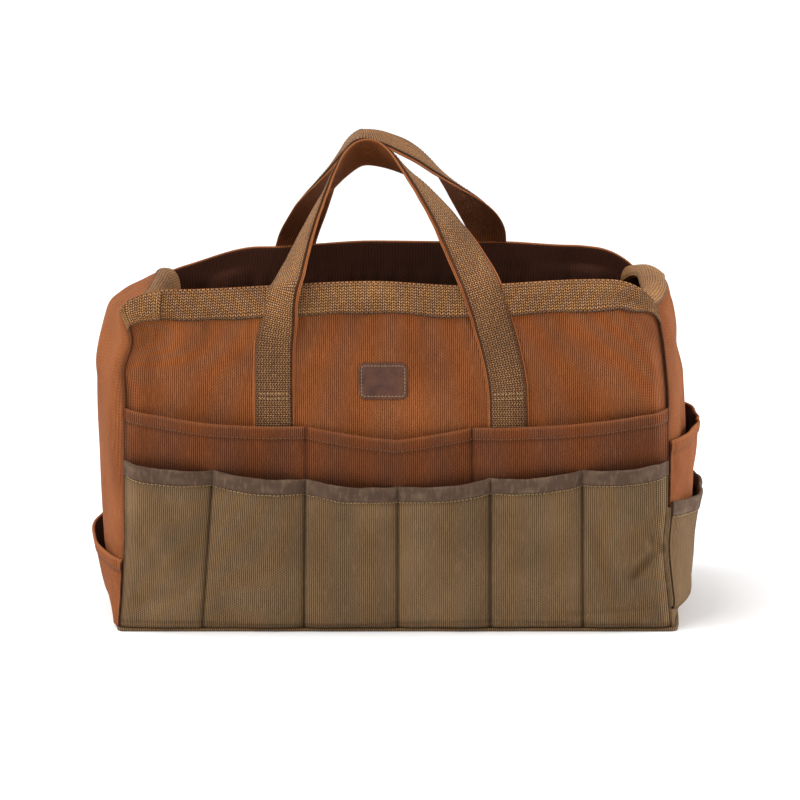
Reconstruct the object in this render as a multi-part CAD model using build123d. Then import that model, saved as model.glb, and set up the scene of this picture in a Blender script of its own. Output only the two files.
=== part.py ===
from build123d import *
from math import atan2, comb, degrees
import os

# Open-top canvas tool tote with pockets all round and two carry handles.
# Millimetres. The origin is the middle of the underside, +Z is up, -Y is the front, +X the bag's right.

# ---- driving dimensions ----
canvas = 2.0                # body panels, sewn double
pocket_canvas = 1.8
clearance = 0.1             # between sewn layers that only lie on each other
free_gap = 0.4              # between a free strap and what it hangs in front of
rim_height = 267.0
panel_foot = 2.0            # the wall panels stand on the bottom panel
board_thickness = 3.0
board_inset = 6.0
board_corner = 8.0
bottom_proud = 4.2          # the bottom panel's seam stands out this far past the walls

# The body's horizontal section at five heights:
# height, half width at the corner seams, half width at the middle of an end, half depth.
body_sections = (
    (panel_foot, 217.0, 222.0, 108.0),
    (100.0, 215.0, 228.0, 110.0),
    (200.0, 212.0, 229.0, 101.6),
    (244.0, 209.0, 222.0, 97.9),
    (rim_height, 205.0, 192.0, 96.0),
)

seam_half = 2.0             # half the width of a sewn seam on a pocket strip
mouth_rise = 20.0           # pocket mouths rise by this much from the middle to the corners
lower_mouth = 114.0         # height of the lower front mouths at the middle
upper_mouth = 153.0
lower_seams = (-1.0, -2 / 3, -1 / 3, 0.0, 1 / 3, 2 / 3, 1.0)    # fractions of the half width
upper_seams = (-1.0, -0.32, 0.27, 1.0)
# A pocket strip's sections: height, stand-off at its seams, depth of its pockets.
upper_sections = (
    (panel_foot, clearance, 0.3),
    (50.0, clearance, 0.3),
    (100.0, clearance, 5.0),
    (136.0, clearance, 8.0),
    (160.0, clearance, 12.0),
    (176.0, clearance, 14.0),
)
lower_sections = (
    (panel_foot, 2.4, 2.0),
    (50.0, 2.4, 9.0),
    (100.0, 7.2, 13.0),
    (136.0, 10.2, 13.0),
)
binding_height = 11.0
binding_proud = 1.0

end_pocket_reach = 248.0    # how far the fullest end pockets stand out on each side
end_pocket_half = 88.0      # half the width of an end pocket
left_mouth = 60.0
right_lower_mouth = 98.0
right_lower_full = 60.0     # the right lower pocket is at its fullest from this height up
right_lower_foot_gap = 2.4
# End pocket sections: height, how far the pocket's middle stands off the end panel.
left_pocket_foot = ((panel_foot, 0.3), (30.0, 9.0))
right_upper_sections = ((20.0, 0.4), (60.0, 5.0), (100.0, 7.0), (153.0, 12.0))

rim_band = 25.0             # webbing width on the rim
rim_thickness = 1.8
webbing_width = 27.0
webbing_thickness = 1.8
backing_width = 30.0
backing_thickness = 1.2
foot_height = 158.0         # where a handle's sewn end is tucked behind the upper pocket
hinge_height = 192.0        # cross-stitch, above which the strap is free
hinge_gap = 0.25
curve_stations = 9          # sections on each side of a handle's arch

rim_step = (9.0, 2.0)       # a strap leans out between these distances below the rim band
rim_clear = 2.0             # a strap's legs start to arch this far above the rim
strap_roll = 0.2            # how far a strap's face tips up half way round its arch

seam_tape_width = 11.0
seam_tape_thickness = 2.5
seam_tape_inset = 4.0       # from the corner seam
seam_tape_span = (8.0, 236.0)

label_size = (38.0, 28.0, 1.0)
label_corner = 5.0
label_place = (-11.0, 197.0)
stitch_bar = (24.0, 3.0, 0.6)
stitch_drop = 6.0           # the bar's middle is this far below the hinge


def body_at(height):
    """Half width at the corners, half width at the ends and half depth of the body at a height."""
    for low, high in zip(body_sections, body_sections[1:]):
        if height <= high[0] or high is body_sections[-1]:
            part = (height - low[0]) / (high[0] - low[0])
            return [a + part * (b - a) for a, b in zip(low[1:], high[1:])]


def end_at(height, across):
    """Outer face of an end panel at a height, at a distance across from the middle of the end."""
    corner, middle, depth = body_at(height)
    return corner + (middle - corner) * (1 - (across / depth) ** 2)


def heights_between(low, high, marks):
    """The two ends and every mark strictly between them, in order."""
    return [low] + [m for m in marks if low < m < high] + [high]


body_heights = [section[0] for section in body_sections]
# How far the front and back lean in from upright where the handles are sewn.
lean_low, lean_high = 160.0, 200.0
panel_lean = degrees(atan2(body_at(lean_low)[2] - body_at(lean_high)[2], lean_high - lean_low))


def stack(make_wire, heights):
    """A solid with straight sides through a horizontal outline at each height."""
    return Solid.make_loft([make_wire(height) for height in heights], ruled=True)


def outline(points, height):
    return Wire.make_polygon([Vector(x, y, height) for x, y in points], close=True)


def arc_band(height, x_in_side, x_in_middle, x_out_side, x_out_middle, half):
    """A closed outline between two arcs that bow along X and end at Y = -half and +half."""
    inner = Edge.make_three_point_arc(
        Vector(x_in_side, -half, height), Vector(x_in_middle, 0, height), Vector(x_in_side, half, height)
    )
    outer = Edge.make_three_point_arc(
        Vector(x_out_side, half, height), Vector(x_out_middle, 0, height), Vector(x_out_side, -half, height)
    )
    far = Edge.make_line(inner @ 1, outer @ 0)
    near = Edge.make_line(outer @ 1, inner @ 0)
    return Wire([inner, far, outer, near])


# ---- body ----
def make_front_panel():
    def section(height):
        corner, _, depth = body_at(height)
        return outline(
            [
                (-corner, -depth),
                (corner, -depth),
                (corner - canvas, canvas - depth),
                (canvas - corner, canvas - depth),
            ],
            height,
        )

    return stack(section, body_heights)


def make_right_end_panel():
    def section(height):
        corner, middle, depth = body_at(height)
        inner = Edge.make_three_point_arc(
            Vector(corner - canvas, canvas - depth, height),
            Vector(middle - canvas, 0, height),
            Vector(corner - canvas, depth - canvas, height),
        )
        outer = Edge.make_three_point_arc(
            Vector(corner, depth, height), Vector(middle, 0, height), Vector(corner, -depth, height)
        )
        far = Edge.make_line(inner @ 1, outer @ 0)
        near = Edge.make_line(outer @ 1, inner @ 0)
        return Wire([inner, far, outer, near])

    return stack(section, body_heights)


def body_outline(height, proud=0.0):
    """The body's outer outline, moved out by proud."""
    corner, middle, depth = body_at(height)
    corner += proud
    middle += proud
    depth += proud
    front = Edge.make_line(Vector(-corner, -depth, height), Vector(corner, -depth, height))
    right = Edge.make_three_point_arc(
        Vector(corner, -depth, height), Vector(middle, 0, height), Vector(corner, depth, height)
    )
    back = Edge.make_line(Vector(corner, depth, height), Vector(-corner, depth, height))
    left = Edge.make_three_point_arc(
        Vector(-corner, depth, height), Vector(-middle, 0, height), Vector(-corner, -depth, height)
    )
    return Wire([front, right, back, left])


def make_bottom_panel():
    return extrude(Face(body_outline(0.0, proud=bottom_proud)), panel_foot, dir=(0, 0, 1))


def make_bottom_board():
    corner, _, depth = body_at(panel_foot)
    half_width = corner - board_inset
    half_depth = depth - board_inset
    outline_face = RectangleRounded(2 * half_width, 2 * half_depth, board_corner)
    board = extrude(outline_face, board_thickness)
    return Pos(0, 0, panel_foot) * board


def make_seam_binding():
    """Folded tape over the raw seam inside the front right corner."""

    def section(height):
        corner, _, depth = body_at(height)
        right = corner - seam_tape_inset
        left = right - seam_tape_width
        outside = canvas - depth
        inside = outside + seam_tape_thickness
        return outline([(left, outside), (right, outside), (right, inside), (left, inside)], height)

    return stack(section, heights_between(*seam_tape_span, body_heights))


def make_rim_webbing():
    heights = heights_between(rim_height - rim_band, rim_height, body_heights)
    outer = stack(lambda height: body_outline(height, proud=rim_thickness), heights)
    inner = stack(lambda height: body_outline(height, proud=clearance), heights)
    return outer - inner


# ---- front and back pockets ----
def strip_outline(height, seams, stand_off, depth_of_pockets, thickness):
    """A strip sewn to the front panel at its seams and bowed out between them."""
    corner, _, depth = body_at(height)
    places = [fraction * corner for fraction in seams]
    edges = []
    for y in (-depth - stand_off, -depth - stand_off - thickness):
        side = []
        for left, right in zip(places, places[1:]):
            start = Vector(left + seam_half, y, height)
            end = Vector(right - seam_half, y, height)
            middle = Vector((left + right) / 2, y - depth_of_pockets, height)
            side.append(Edge.make_line(side[-1] @ 1 if side else Vector(left, y, height), start))
            side.append(Edge.make_three_point_arc(start, middle, end))
        side.append(Edge.make_line(side[-1] @ 1, Vector(places[-1], y, height)))
        edges.append(side)
    inner, outer = edges
    ends = [
        Edge.make_line(inner[0] @ 0, outer[0] @ 0),
        Edge.make_line(inner[-1] @ 1, outer[-1] @ 1),
    ]
    return Wire(inner + outer + ends)


def make_strip(seams, sections, thickness):
    wires = [strip_outline(height, seams, off, deep, thickness) for height, off, deep in sections]
    return Solid.make_loft(wires, ruled=True)


def band_below(low, high):
    """The space in front of the body between two V-shaped lines, given by their heights at the middle."""
    side_margin = 10.0
    reach_forward = 160.0
    half_width = body_sections[0][1]
    reach = half_width + side_margin
    rise = mouth_rise * reach / half_width
    points = [(-reach, high + rise), (0, high), (reach, high + rise)]
    if low is None:
        points += [(reach, 0), (-reach, 0)]
    else:
        points += [(reach, low + rise), (0, low), (-reach, low + rise)]
    face = make_face(Polyline(*points, close=True))
    return Plane.XZ * extrude(face, reach_forward)


def make_upper_pocket_strip():
    return make_strip(upper_seams, upper_sections, pocket_canvas) & band_below(None, upper_mouth)


def make_lower_pocket_strip():
    strip = make_strip(lower_seams, lower_sections, pocket_canvas)
    return strip & band_below(None, lower_mouth - binding_height)


def make_lower_pocket_binding():
    strip = make_strip(lower_seams, lower_sections, pocket_canvas + binding_proud)
    return strip & band_below(lower_mouth - binding_height, lower_mouth)


# ---- end pockets, on the right end ----
def make_end_pocket(sections, thickness=pocket_canvas, under=0.0):
    """sections: height, how far the pocket's middle stands off the end panel.

    under is the thickness of what its sides lie on.
    """

    def wire(height, gap):
        side = end_at(height, end_pocket_half) + 2 * clearance + under
        middle = end_at(height, 0) + gap
        return arc_band(height, side, middle, side + thickness, middle + thickness, end_pocket_half)

    return Solid.make_loft([wire(height, gap) for height, gap in sections], ruled=True)


def mouth_gap(height, thickness=pocket_canvas):
    """The stand-off that brings a pocket's outer face to the reach of the bag at that height."""
    return end_pocket_reach - thickness - end_at(height, 0)


def make_left_end_pocket():
    sections = left_pocket_foot + ((left_mouth, mouth_gap(left_mouth)),)
    return mirror(make_end_pocket(sections), Plane.YZ)


def make_right_upper_pocket():
    return make_end_pocket(right_upper_sections)


def right_lower_gap(height):
    full = mouth_gap(right_lower_mouth, pocket_canvas + binding_proud)
    share = min(1.0, (height - panel_foot) / (right_lower_full - panel_foot))
    return right_lower_foot_gap + (full - right_lower_foot_gap) * share


def make_right_lower_pocket():
    """The pocket sewn over the foot of the upper one."""
    top = right_lower_mouth - binding_height
    sections = [(height, right_lower_gap(height)) for height in (panel_foot, right_lower_full, top)]
    return make_end_pocket(sections, under=pocket_canvas)


def make_right_lower_binding():
    heights = (right_lower_mouth - binding_height, right_lower_mouth)
    sections = [(height, right_lower_gap(height)) for height in heights]
    return make_end_pocket(sections, pocket_canvas + binding_proud, under=pocket_canvas)


# ---- handles ----
def bezier(controls, t):
    """The place at t on the Bezier curve with these control points."""
    order = len(controls) - 1
    place = Vector(0, 0, 0)
    for i, control in enumerate(controls):
        place += control * (comb(order, i) * t**i * (1 - t) ** (order - i))
    return place


class Handle:
    """The line of one strap: where webbing and backing meet, from the left foot over to the right foot.

    side is -1 for the front and +1 for the back. The rim places are where each leg crosses the rim,
    the bends are the control points of each half of the arch, and the tilt is that of the strap's
    width at the top.
    """

    def __init__(self, side, feet, rims, bends, apex, tilt):
        self.side = side
        self.feet = feet
        self.rims = rims
        self.bends = bends
        self.apex = Vector(*apex)
        self.top_normal = Vector(0, 0, 1).rotate(Axis.X, side * tilt)

    def on_panel(self, leg, height, proud=0.0):
        share = (height - foot_height) / (rim_height - foot_height)
        x = self.feet[leg] + share * (self.rims[leg] - self.feet[leg])
        return Vector(x, self.side * (body_at(height)[2] + clearance + backing_thickness + proud), height)

    def hinge(self):
        """A point on the hinge axis, on the strap's outer face."""
        place = self.on_panel(0, hinge_height, webbing_thickness + free_gap)
        return Vector(0, place.Y, place.Z)

    def leg_points(self, leg):
        over_rim = rim_thickness + 2 * free_gap
        points = [
            self.on_panel(leg, hinge_height + hinge_gap, free_gap),
            self.on_panel(leg, rim_height - rim_band - rim_step[0], free_gap),
            self.on_panel(leg, rim_height - rim_band - rim_step[1], over_rim),
            self.on_panel(leg, rim_height + rim_clear, over_rim + 2 * free_gap),
        ]
        normals = [Vector(0, self.side, 0)] * len(points)
        arch = [points[-1], *[Vector(*bend) for bend in self.bends[leg]], self.apex]
        facings = [Vector(0, self.side, 0), Vector(-1 if leg == 0 else 1, 0, strap_roll), self.top_normal]
        for step in range(1, curve_stations + 1):
            points.append(bezier(arch, step / curve_stations))
            normals.append(bezier(facings, step / curve_stations))
        return points, normals

    def stations(self):
        """(place, direction, normal) along the free strap from the left hinge to the right one."""
        left, left_normals = self.leg_points(0)
        right, right_normals = self.leg_points(1)
        points = left + right[-2::-1]
        normals = left_normals + right_normals[-2::-1]
        result = []
        for i, (point, normal) in enumerate(zip(points, normals)):
            before = points[max(i - 1, 0)]
            after = points[min(i + 1, len(points) - 1)]
            along = (after - before).normalized()
            if i in (0, len(points) - 1):
                along = Vector(0, 0, 1 if i == 0 else -1)
            flat = (normal - along * normal.dot(along)).normalized()
            result.append((point, along, flat))
        return result


def strap_section(station, width, low, high):
    """A strap's cross-section between two distances along its normal."""
    place, along, normal = station
    half = along.cross(normal) * (width / 2)
    corners = [
        place + normal * low - half,
        place + normal * low + half,
        place + normal * high + half,
        place + normal * high - half,
    ]
    return Wire.make_polygon(corners, close=True)


def make_loop(handle, width, low, high):
    return Solid.make_loft(
        [strap_section(station, width, low, high) for station in handle.stations()], ruled=True
    )


def make_anchor(handle, leg, width, low, high):
    """The sewn end of a strap, from its foot to the hinge."""
    along = Vector(0, 0, 1)
    normal = Vector(0, handle.side, 0)
    ends = [handle.on_panel(leg, foot_height), handle.on_panel(leg, hinge_height - hinge_gap)]
    sections = [strap_section((end, along, normal), width, low, high) for end in ends]
    return Solid.make_loft(sections, ruled=True)


def make_stitch_bars(handle):
    width, height, thickness = stitch_bar
    bars = []
    for leg in (0, 1):
        proud = webbing_thickness + clearance + thickness / 2
        place = handle.on_panel(leg, hinge_height - stitch_drop, proud)
        lean = Rot(X=handle.side * panel_lean)
        bars.append(Pos(place.X, place.Y, place.Z) * lean * Box(width, thickness, height))
    return Compound(children=bars)


def make_label():
    width, height, thickness = label_size
    x, z = label_place
    y = -body_at(z)[2] - clearance - thickness
    patch = extrude(Plane.XZ * RectangleRounded(width, height, label_corner), thickness / 2, both=True)
    return Pos(x, y, z) * Rot(X=-panel_lean) * patch


front_handle = Handle(
    side=-1,
    feet=(-95.0, 86.0),
    rims=(-88.0, 64.0),
    bends=(((-82.0, -84.0, 278.0), (-53.0, -8.0, 368.0)), ((55.0, -84.0, 290.0), (1.0, -8.0, 368.0))),
    apex=(-24.0, -8.0, 366.0),
    tilt=35.0,
)
back_handle = Handle(
    side=1,
    feet=(-93.0, 86.0),
    rims=(-84.0, 74.0),
    bends=(((-80.0, 84.0, 281.0), (-46.0, 4.0, 378.0)), ((92.0, 84.0, 274.0), (13.0, 4.0, 377.0))),
    apex=(-27.0, 4.0, 377.0),
    tilt=11.0,
)

front_panel = make_front_panel()
right_end_panel = make_right_end_panel()
upper_strip = make_upper_pocket_strip()
lower_strip = make_lower_pocket_strip()
lower_binding = make_lower_pocket_binding()
seam_binding = make_seam_binding()

nodes = {
    "bottom_panel": make_bottom_panel(),
    "bottom_board": make_bottom_board(),
    "front_panel": front_panel,
    "back_panel": mirror(front_panel, Plane.XZ),
    "right_end_panel": right_end_panel,
    "left_end_panel": mirror(right_end_panel, Plane.YZ),
    "rim_webbing": make_rim_webbing(),
    "front_upper_pocket_strip": upper_strip,
    "back_upper_pocket_strip": mirror(upper_strip, Plane.XZ),
    "front_lower_pocket_strip": lower_strip,
    "back_lower_pocket_strip": mirror(lower_strip, Plane.XZ),
    "front_lower_pocket_binding": lower_binding,
    "back_lower_pocket_binding": mirror(lower_binding, Plane.XZ),
    "left_end_pocket": make_left_end_pocket(),
    "right_end_upper_pocket": make_right_upper_pocket(),
    "right_end_lower_pocket": make_right_lower_pocket(),
    "right_end_lower_binding": make_right_lower_binding(),
    "front_right_seam_binding": seam_binding,
    "front_left_seam_binding": mirror(seam_binding, Plane.YZ),
    "back_right_seam_binding": mirror(seam_binding, Plane.XZ),
    "back_left_seam_binding": mirror(mirror(seam_binding, Plane.XZ), Plane.YZ),
    "label_patch": make_label(),
}
for place, handle in (("front", front_handle), ("back", back_handle)):
    nodes[f"{place}_handle_webbing"] = make_loop(handle, webbing_width, 0.0, webbing_thickness)
    nodes[f"{place}_handle_backing"] = make_loop(handle, backing_width, -backing_thickness, 0.0)
    nodes[f"{place}_handle_stitch_bars"] = make_stitch_bars(handle)
    for leg, name in ((0, "left"), (1, "right")):
        anchor = f"{place}_{name}_anchor"
        nodes[f"{anchor}_webbing"] = make_anchor(handle, leg, webbing_width, 0.0, webbing_thickness)
        nodes[f"{anchor}_backing"] = make_anchor(handle, leg, backing_width, -backing_thickness, 0.0)

if __name__ == "__main__":
    os.makedirs("parts", exist_ok=True)
    for name, solid in nodes.items():
        export_step(solid, f"parts/{name}.step")
    for place, handle in (("front", front_handle), ("back", back_handle)):
        print(place, "handle hinge at", handle.hinge())
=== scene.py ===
import math

import bpy
import numpy as np
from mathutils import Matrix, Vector
from mathutils.bvhtree import BVHTree


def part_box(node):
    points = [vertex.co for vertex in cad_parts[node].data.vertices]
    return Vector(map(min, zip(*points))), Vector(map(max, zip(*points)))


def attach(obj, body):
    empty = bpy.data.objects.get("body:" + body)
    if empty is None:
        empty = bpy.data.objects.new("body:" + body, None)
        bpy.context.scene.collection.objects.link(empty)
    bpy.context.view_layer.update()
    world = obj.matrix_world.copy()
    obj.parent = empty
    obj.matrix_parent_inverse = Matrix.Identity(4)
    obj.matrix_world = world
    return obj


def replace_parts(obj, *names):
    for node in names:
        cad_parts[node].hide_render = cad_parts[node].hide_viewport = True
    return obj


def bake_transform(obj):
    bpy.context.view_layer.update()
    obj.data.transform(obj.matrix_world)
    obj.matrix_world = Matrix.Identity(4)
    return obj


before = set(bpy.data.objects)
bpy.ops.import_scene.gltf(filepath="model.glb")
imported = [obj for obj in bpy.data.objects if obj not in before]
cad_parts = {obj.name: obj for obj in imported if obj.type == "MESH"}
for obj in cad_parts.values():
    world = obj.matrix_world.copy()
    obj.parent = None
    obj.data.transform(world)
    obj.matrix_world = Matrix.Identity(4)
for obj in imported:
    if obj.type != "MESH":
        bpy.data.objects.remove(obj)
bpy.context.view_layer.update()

# Lengths in this script are millimetres until a mesh is made.
MM = 0.001


# ---------------------------------------------------------------- reading the frame
def box_mm(node):
    low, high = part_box(node)
    return np.array(low) / MM, np.array(high) / MM


def reader(node):
    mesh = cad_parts[node].data
    points = [v.co.copy() for v in mesh.vertices]
    return BVHTree.FromPolygons(points, [tuple(p.vertices) for p in mesh.polygons])


def reach(tree, origin, direction, axis):
    """Where a ray first meets a CAD surface, along one axis, in mm."""
    hit = tree.ray_cast(Vector(origin) * MM, Vector(direction))[0]
    return hit[axis] / MM


floor_of_walls = box_mm("front_panel")[0][2]
rim_height = box_mm("front_panel")[1][2]
front_tree = reader("front_panel")
profile_heights = np.linspace(floor_of_walls + 0.2, rim_height - 0.2, 70)
far = 1000.0
depth_profile = np.array([-reach(front_tree, (0, -far, z), (0, 1, 0), 1) for z in profile_heights])
corner_profile = np.array(
    [
        reach(front_tree, (far, 0.8 - d, z), (-1, 0, 0), 0) + 0.8
        for z, d in zip(profile_heights, depth_profile)
    ]
)


def depth_at(z):
    return np.interp(z, profile_heights, depth_profile)


def corner_at(z):
    return np.interp(z, profile_heights, corner_profile)


# ---------------------------------------------------------------- soft shapes
def smooth(x):
    x = np.clip(x, 0.0, 1.0)
    return x * x * (3 - 2 * x)


def hill(x):
    """1 where x is 0, falling to almost nothing at 2."""
    return np.exp(-(x**2))


def unit(vectors):
    return vectors / np.maximum(np.linalg.norm(vectors, axis=-1, keepdims=True), 1e-9)


def travel(points):
    """The distance along a line to each of its points."""
    return np.concatenate([[0], np.cumsum(np.linalg.norm(np.diff(points, axis=0), axis=1))])


def resample(where, distance, values):
    """Rows of values at places along a line, given the distance to each row."""
    return np.stack([np.interp(where, distance, column) for column in values.T], axis=-1)


def soften(line):
    """Evens out a line in place, apart from its two ends."""
    line[1:-1] = (line[:-2] + 2 * line[1:-1] + line[2:]) / 4


# soft_noise adds this many waves in each octave, and each octave is this much weaker than the last.
noise_octaves, noise_waves, octave_fade = 2, 8, 0.55
edge_bulge = 0.45       # how far a sheet's rounded edge stands out, as a share of its thickness


def soft_noise(x, y, scale_x, scale_y, seed):
    """A smooth random field of about -1 to 1. The scales are the sizes of its folds in mm."""
    generator = np.random.default_rng(seed)
    total = np.zeros(np.broadcast(x, y).shape)
    weight = 0.0
    for octave in range(noise_octaves):
        strength = octave_fade**octave
        for _ in range(noise_waves):
            turn = generator.uniform(0, 2 * math.pi)
            speed = 2**octave * generator.uniform(0.55, 1.5)
            phase = generator.uniform(0, 2 * math.pi)
            along = x * math.cos(turn) / scale_x + y * math.sin(turn) / scale_y
            total += strength * np.sin(2 * math.pi * speed * along * 0.5 + phase)
        weight += strength * 2.2
    return total / weight


def fold(x, z, start, end, width, depth):
    """A crease between two points: a dent with a soft ridge on each side, fading at its ends."""
    ax, az = start
    bx, bz = end
    length = math.hypot(bx - ax, bz - az)
    ux, uz = (bx - ax) / length, (bz - az) / length
    along = ((x - ax) * ux + (z - az) * uz) / length
    across = ((x - ax) * -uz + (z - az) * ux) / width
    ends = smooth(along / 0.3) * smooth((1 - along) / 0.3)
    return -depth * (1 - 1.1 * across**2) * hill(across) * ends


def grid_normals(points):
    along = np.gradient(points, axis=1)
    up = np.gradient(points, axis=0)
    normals = np.cross(along, up)
    return unit(normals)


def even_rows(points):
    """The same sheet with each column's points evenly spaced along its length."""
    result = np.empty_like(points)
    lengths = []
    for c in range(points.shape[1]):
        distance = travel(points[:, c])
        lengths.append(distance[-1])
        where = np.linspace(0, distance[-1], points.shape[0])
        result[:, c] = resample(where, distance, points[:, c])
    return result, np.array(lengths)


class Surface:
    """A grid of points, rows going up and columns going along, that other pieces are sewn to."""

    def __init__(self, points, even=False):
        self.points, self.lengths = even_rows(points) if even else (points, None)
        self.normals = grid_normals(self.points)

    def at(self, along, up, proud=0.0):
        """Points at fractions along and up the grid, lifted off it by proud, and the normals there."""
        rows, columns = self.points.shape[:2]
        c = np.clip(np.asarray(along, float), 0, 1) * (columns - 1)
        r = np.clip(np.asarray(up, float), 0, 1) * (rows - 1)
        c, r = np.broadcast_arrays(c, r)
        c0 = np.minimum(c.astype(int), columns - 2)
        r0 = np.minimum(r.astype(int), rows - 2)
        fc = (c - c0)[..., None]
        fr = (r - r0)[..., None]

        def mix(values):
            low = values[r0, c0] * (1 - fc) + values[r0, c0 + 1] * fc
            high = values[r0 + 1, c0] * (1 - fc) + values[r0 + 1, c0 + 1] * fc
            return low * (1 - fr) + high * fr

        normal = mix(self.normals)
        normal = unit(normal)
        return mix(self.points) + normal * np.asarray(proud)[..., None], normal

    def up_at(self, along, z):
        """The fraction up the grid where it reaches a height."""
        rows, columns = self.points.shape[:2]
        along, z = np.broadcast_arrays(np.asarray(along, float), np.asarray(z, float))
        c = np.clip(along, 0, 1) * (columns - 1)
        c0 = np.minimum(c.astype(int), columns - 2)
        fraction = c - c0
        shares = np.linspace(0, 1, rows)
        low = np.empty(z.shape)
        high = np.empty(z.shape)
        for column in np.unique(c0):
            here = c0 == column
            rising = np.maximum.accumulate(self.points[:, column : column + 2, 2], axis=0)
            low[here] = np.interp(z[here], rising[:, 0], shares)
            high[here] = np.interp(z[here], rising[:, 1], shares)
        return low * (1 - fraction) + high * fraction

    def on(self, along, z, proud=0.0):
        """Points at fractions along the grid and at heights."""
        return self.at(along, self.up_at(along, z), proud)


# ---------------------------------------------------------------- meshes
def add_object(name, data):
    made = bpy.data.objects.new(name, data)
    bpy.context.scene.collection.objects.link(made)
    return made


def put(name, points, faces, materials, face_materials=None, uv=None, tone=None):
    mesh = bpy.data.meshes.new(name)
    mesh.from_pydata((np.asarray(points) * MM).tolist(), [], faces)
    for material in materials:
        mesh.materials.append(material)
    if face_materials is not None:
        mesh.polygons.foreach_set("material_index", np.asarray(face_materials, np.int32))
    mesh.polygons.foreach_set("use_smooth", np.ones(len(mesh.polygons), bool))
    if uv is not None:
        layer = mesh.uv_layers.new(name="Cloth")
        loops = np.empty(len(mesh.loops), np.int32)
        mesh.loops.foreach_get("vertex_index", loops)
        layer.data.foreach_set("uv", (np.asarray(uv)[loops] * MM).ravel())
    if tone is not None:
        attribute = mesh.attributes.new("tone", "FLOAT", "POINT")
        attribute.data.foreach_set("value", np.asarray(tone, np.float32))
    mesh.validate()
    mesh.update()
    piece = add_object(name, mesh)
    return piece


def quads_of(index, flip=False):
    a, b = index[:-1, :-1], index[:-1, 1:]
    c, d = index[1:, 1:], index[1:, :-1]
    faces = np.stack([a, b, c, d], axis=-1).reshape(-1, 4)
    return faces[:, ::-1] if flip else faces


def cloth_lengths(points):
    """Distances along and up a grid, for its weave."""
    middle_row = points[points.shape[0] // 2]
    middle_column = points[:, points.shape[1] // 2]
    along = travel(middle_row)
    up = travel(middle_column)
    return np.meshgrid(along, up)


def cloth(name, points, thickness, materials, tone=None, turn_weave=False, normals=None):
    """A closed sheet whose outer face is the grid. Its edges are rounded over. The first material is the
    outer face's and the last the inner face's."""
    if normals is None:
        normals = grid_normals(points)
    rows, columns = points.shape[:2]
    thickness = np.broadcast_to(np.asarray(thickness, float), (rows, columns))[..., None]
    inner = points - normals * thickness
    along, up = cloth_lengths(points)
    uv = np.stack([up, along] if turn_weave else [along, up], axis=-1)
    outer_index = np.arange(rows * columns).reshape(rows, columns)
    inner_index = outer_index + rows * columns
    faces = [quads_of(outer_index), quads_of(inner_index, flip=True)]
    kinds = [np.zeros(len(faces[0])), np.full(len(faces[1]), len(materials) - 1)]
    all_points = [points.reshape(-1, 3), inner.reshape(-1, 3)]
    all_uv = [uv.reshape(-1, 2), uv.reshape(-1, 2)]
    tone = np.zeros((rows, columns)) if tone is None else np.broadcast_to(tone, (rows, columns))
    all_tone = [tone.ravel(), tone.ravel()]
    count = 2 * rows * columns
    borders = (
        (outer_index[0, :], -1, 0), (outer_index[-1, ::-1], 1, 0),
        (outer_index[::-1, 0], 0, -1), (outer_index[:, -1], 0, 1),
    )
    flat_outer = points.reshape(-1, 3)
    flat_inner = inner.reshape(-1, 3)
    up_step = np.gradient(points, axis=0).reshape(-1, 3)
    along_step = np.gradient(points, axis=1).reshape(-1, 3)
    for line, sign_up, sign_along in borders:
        away = up_step[line] * sign_up + along_step[line] * sign_along
        away = unit(away)
        wall = np.linalg.norm(flat_outer[line] - flat_inner[line], axis=1, keepdims=True)
        middle = (flat_outer[line] + flat_inner[line]) / 2 + away * wall * edge_bulge
        middle_index = np.arange(count, count + len(line))
        count += len(line)
        all_points.append(middle)
        all_uv.append(uv.reshape(-1, 2)[line])
        all_tone.append(tone.ravel()[line])
        strip = np.stack([line + rows * columns, middle_index, line])
        faces.append(quads_of(strip))
        kinds.append(np.zeros(len(faces[-1])))
    faces = np.concatenate(faces).tolist()
    # The four corners of the sheet, between the rounded borders.
    starts = [2 * rows * columns + sum(len(b[0]) for b in borders[:i]) for i in range(4)]
    bottom, top, left, right = starts
    corners = (
        (bottom, left + rows - 1, outer_index[0, 0]),
        (right, bottom + columns - 1, outer_index[0, -1]),
        (top, right + rows - 1, outer_index[-1, -1]),
        (left, top + columns - 1, outer_index[-1, 0]),
    )
    for after, before, corner in corners:
        faces.append([corner, before, after])
        faces.append([corner + rows * columns, after, before])
        kinds.append([0, 0])
    return put(
        name, np.concatenate(all_points), faces, materials, np.concatenate(kinds), np.concatenate(all_uv),
        np.concatenate(all_tone),
    )


# A stitch's sections: its share of the length, its girth and how far it is lifted, in radii.
stitch_stations = (
    (-0.5, 0.35, -0.6), (-0.32, 0.95, 0.25), (0.0, 1.0, 0.5), (0.32, 0.95, 0.25), (0.5, 0.35, -0.6),
)
stitch_sides = 6
stitch_fill = 0.78      # share of the pitch that is thread
stitch_sink = 0.12      # mm


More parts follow.
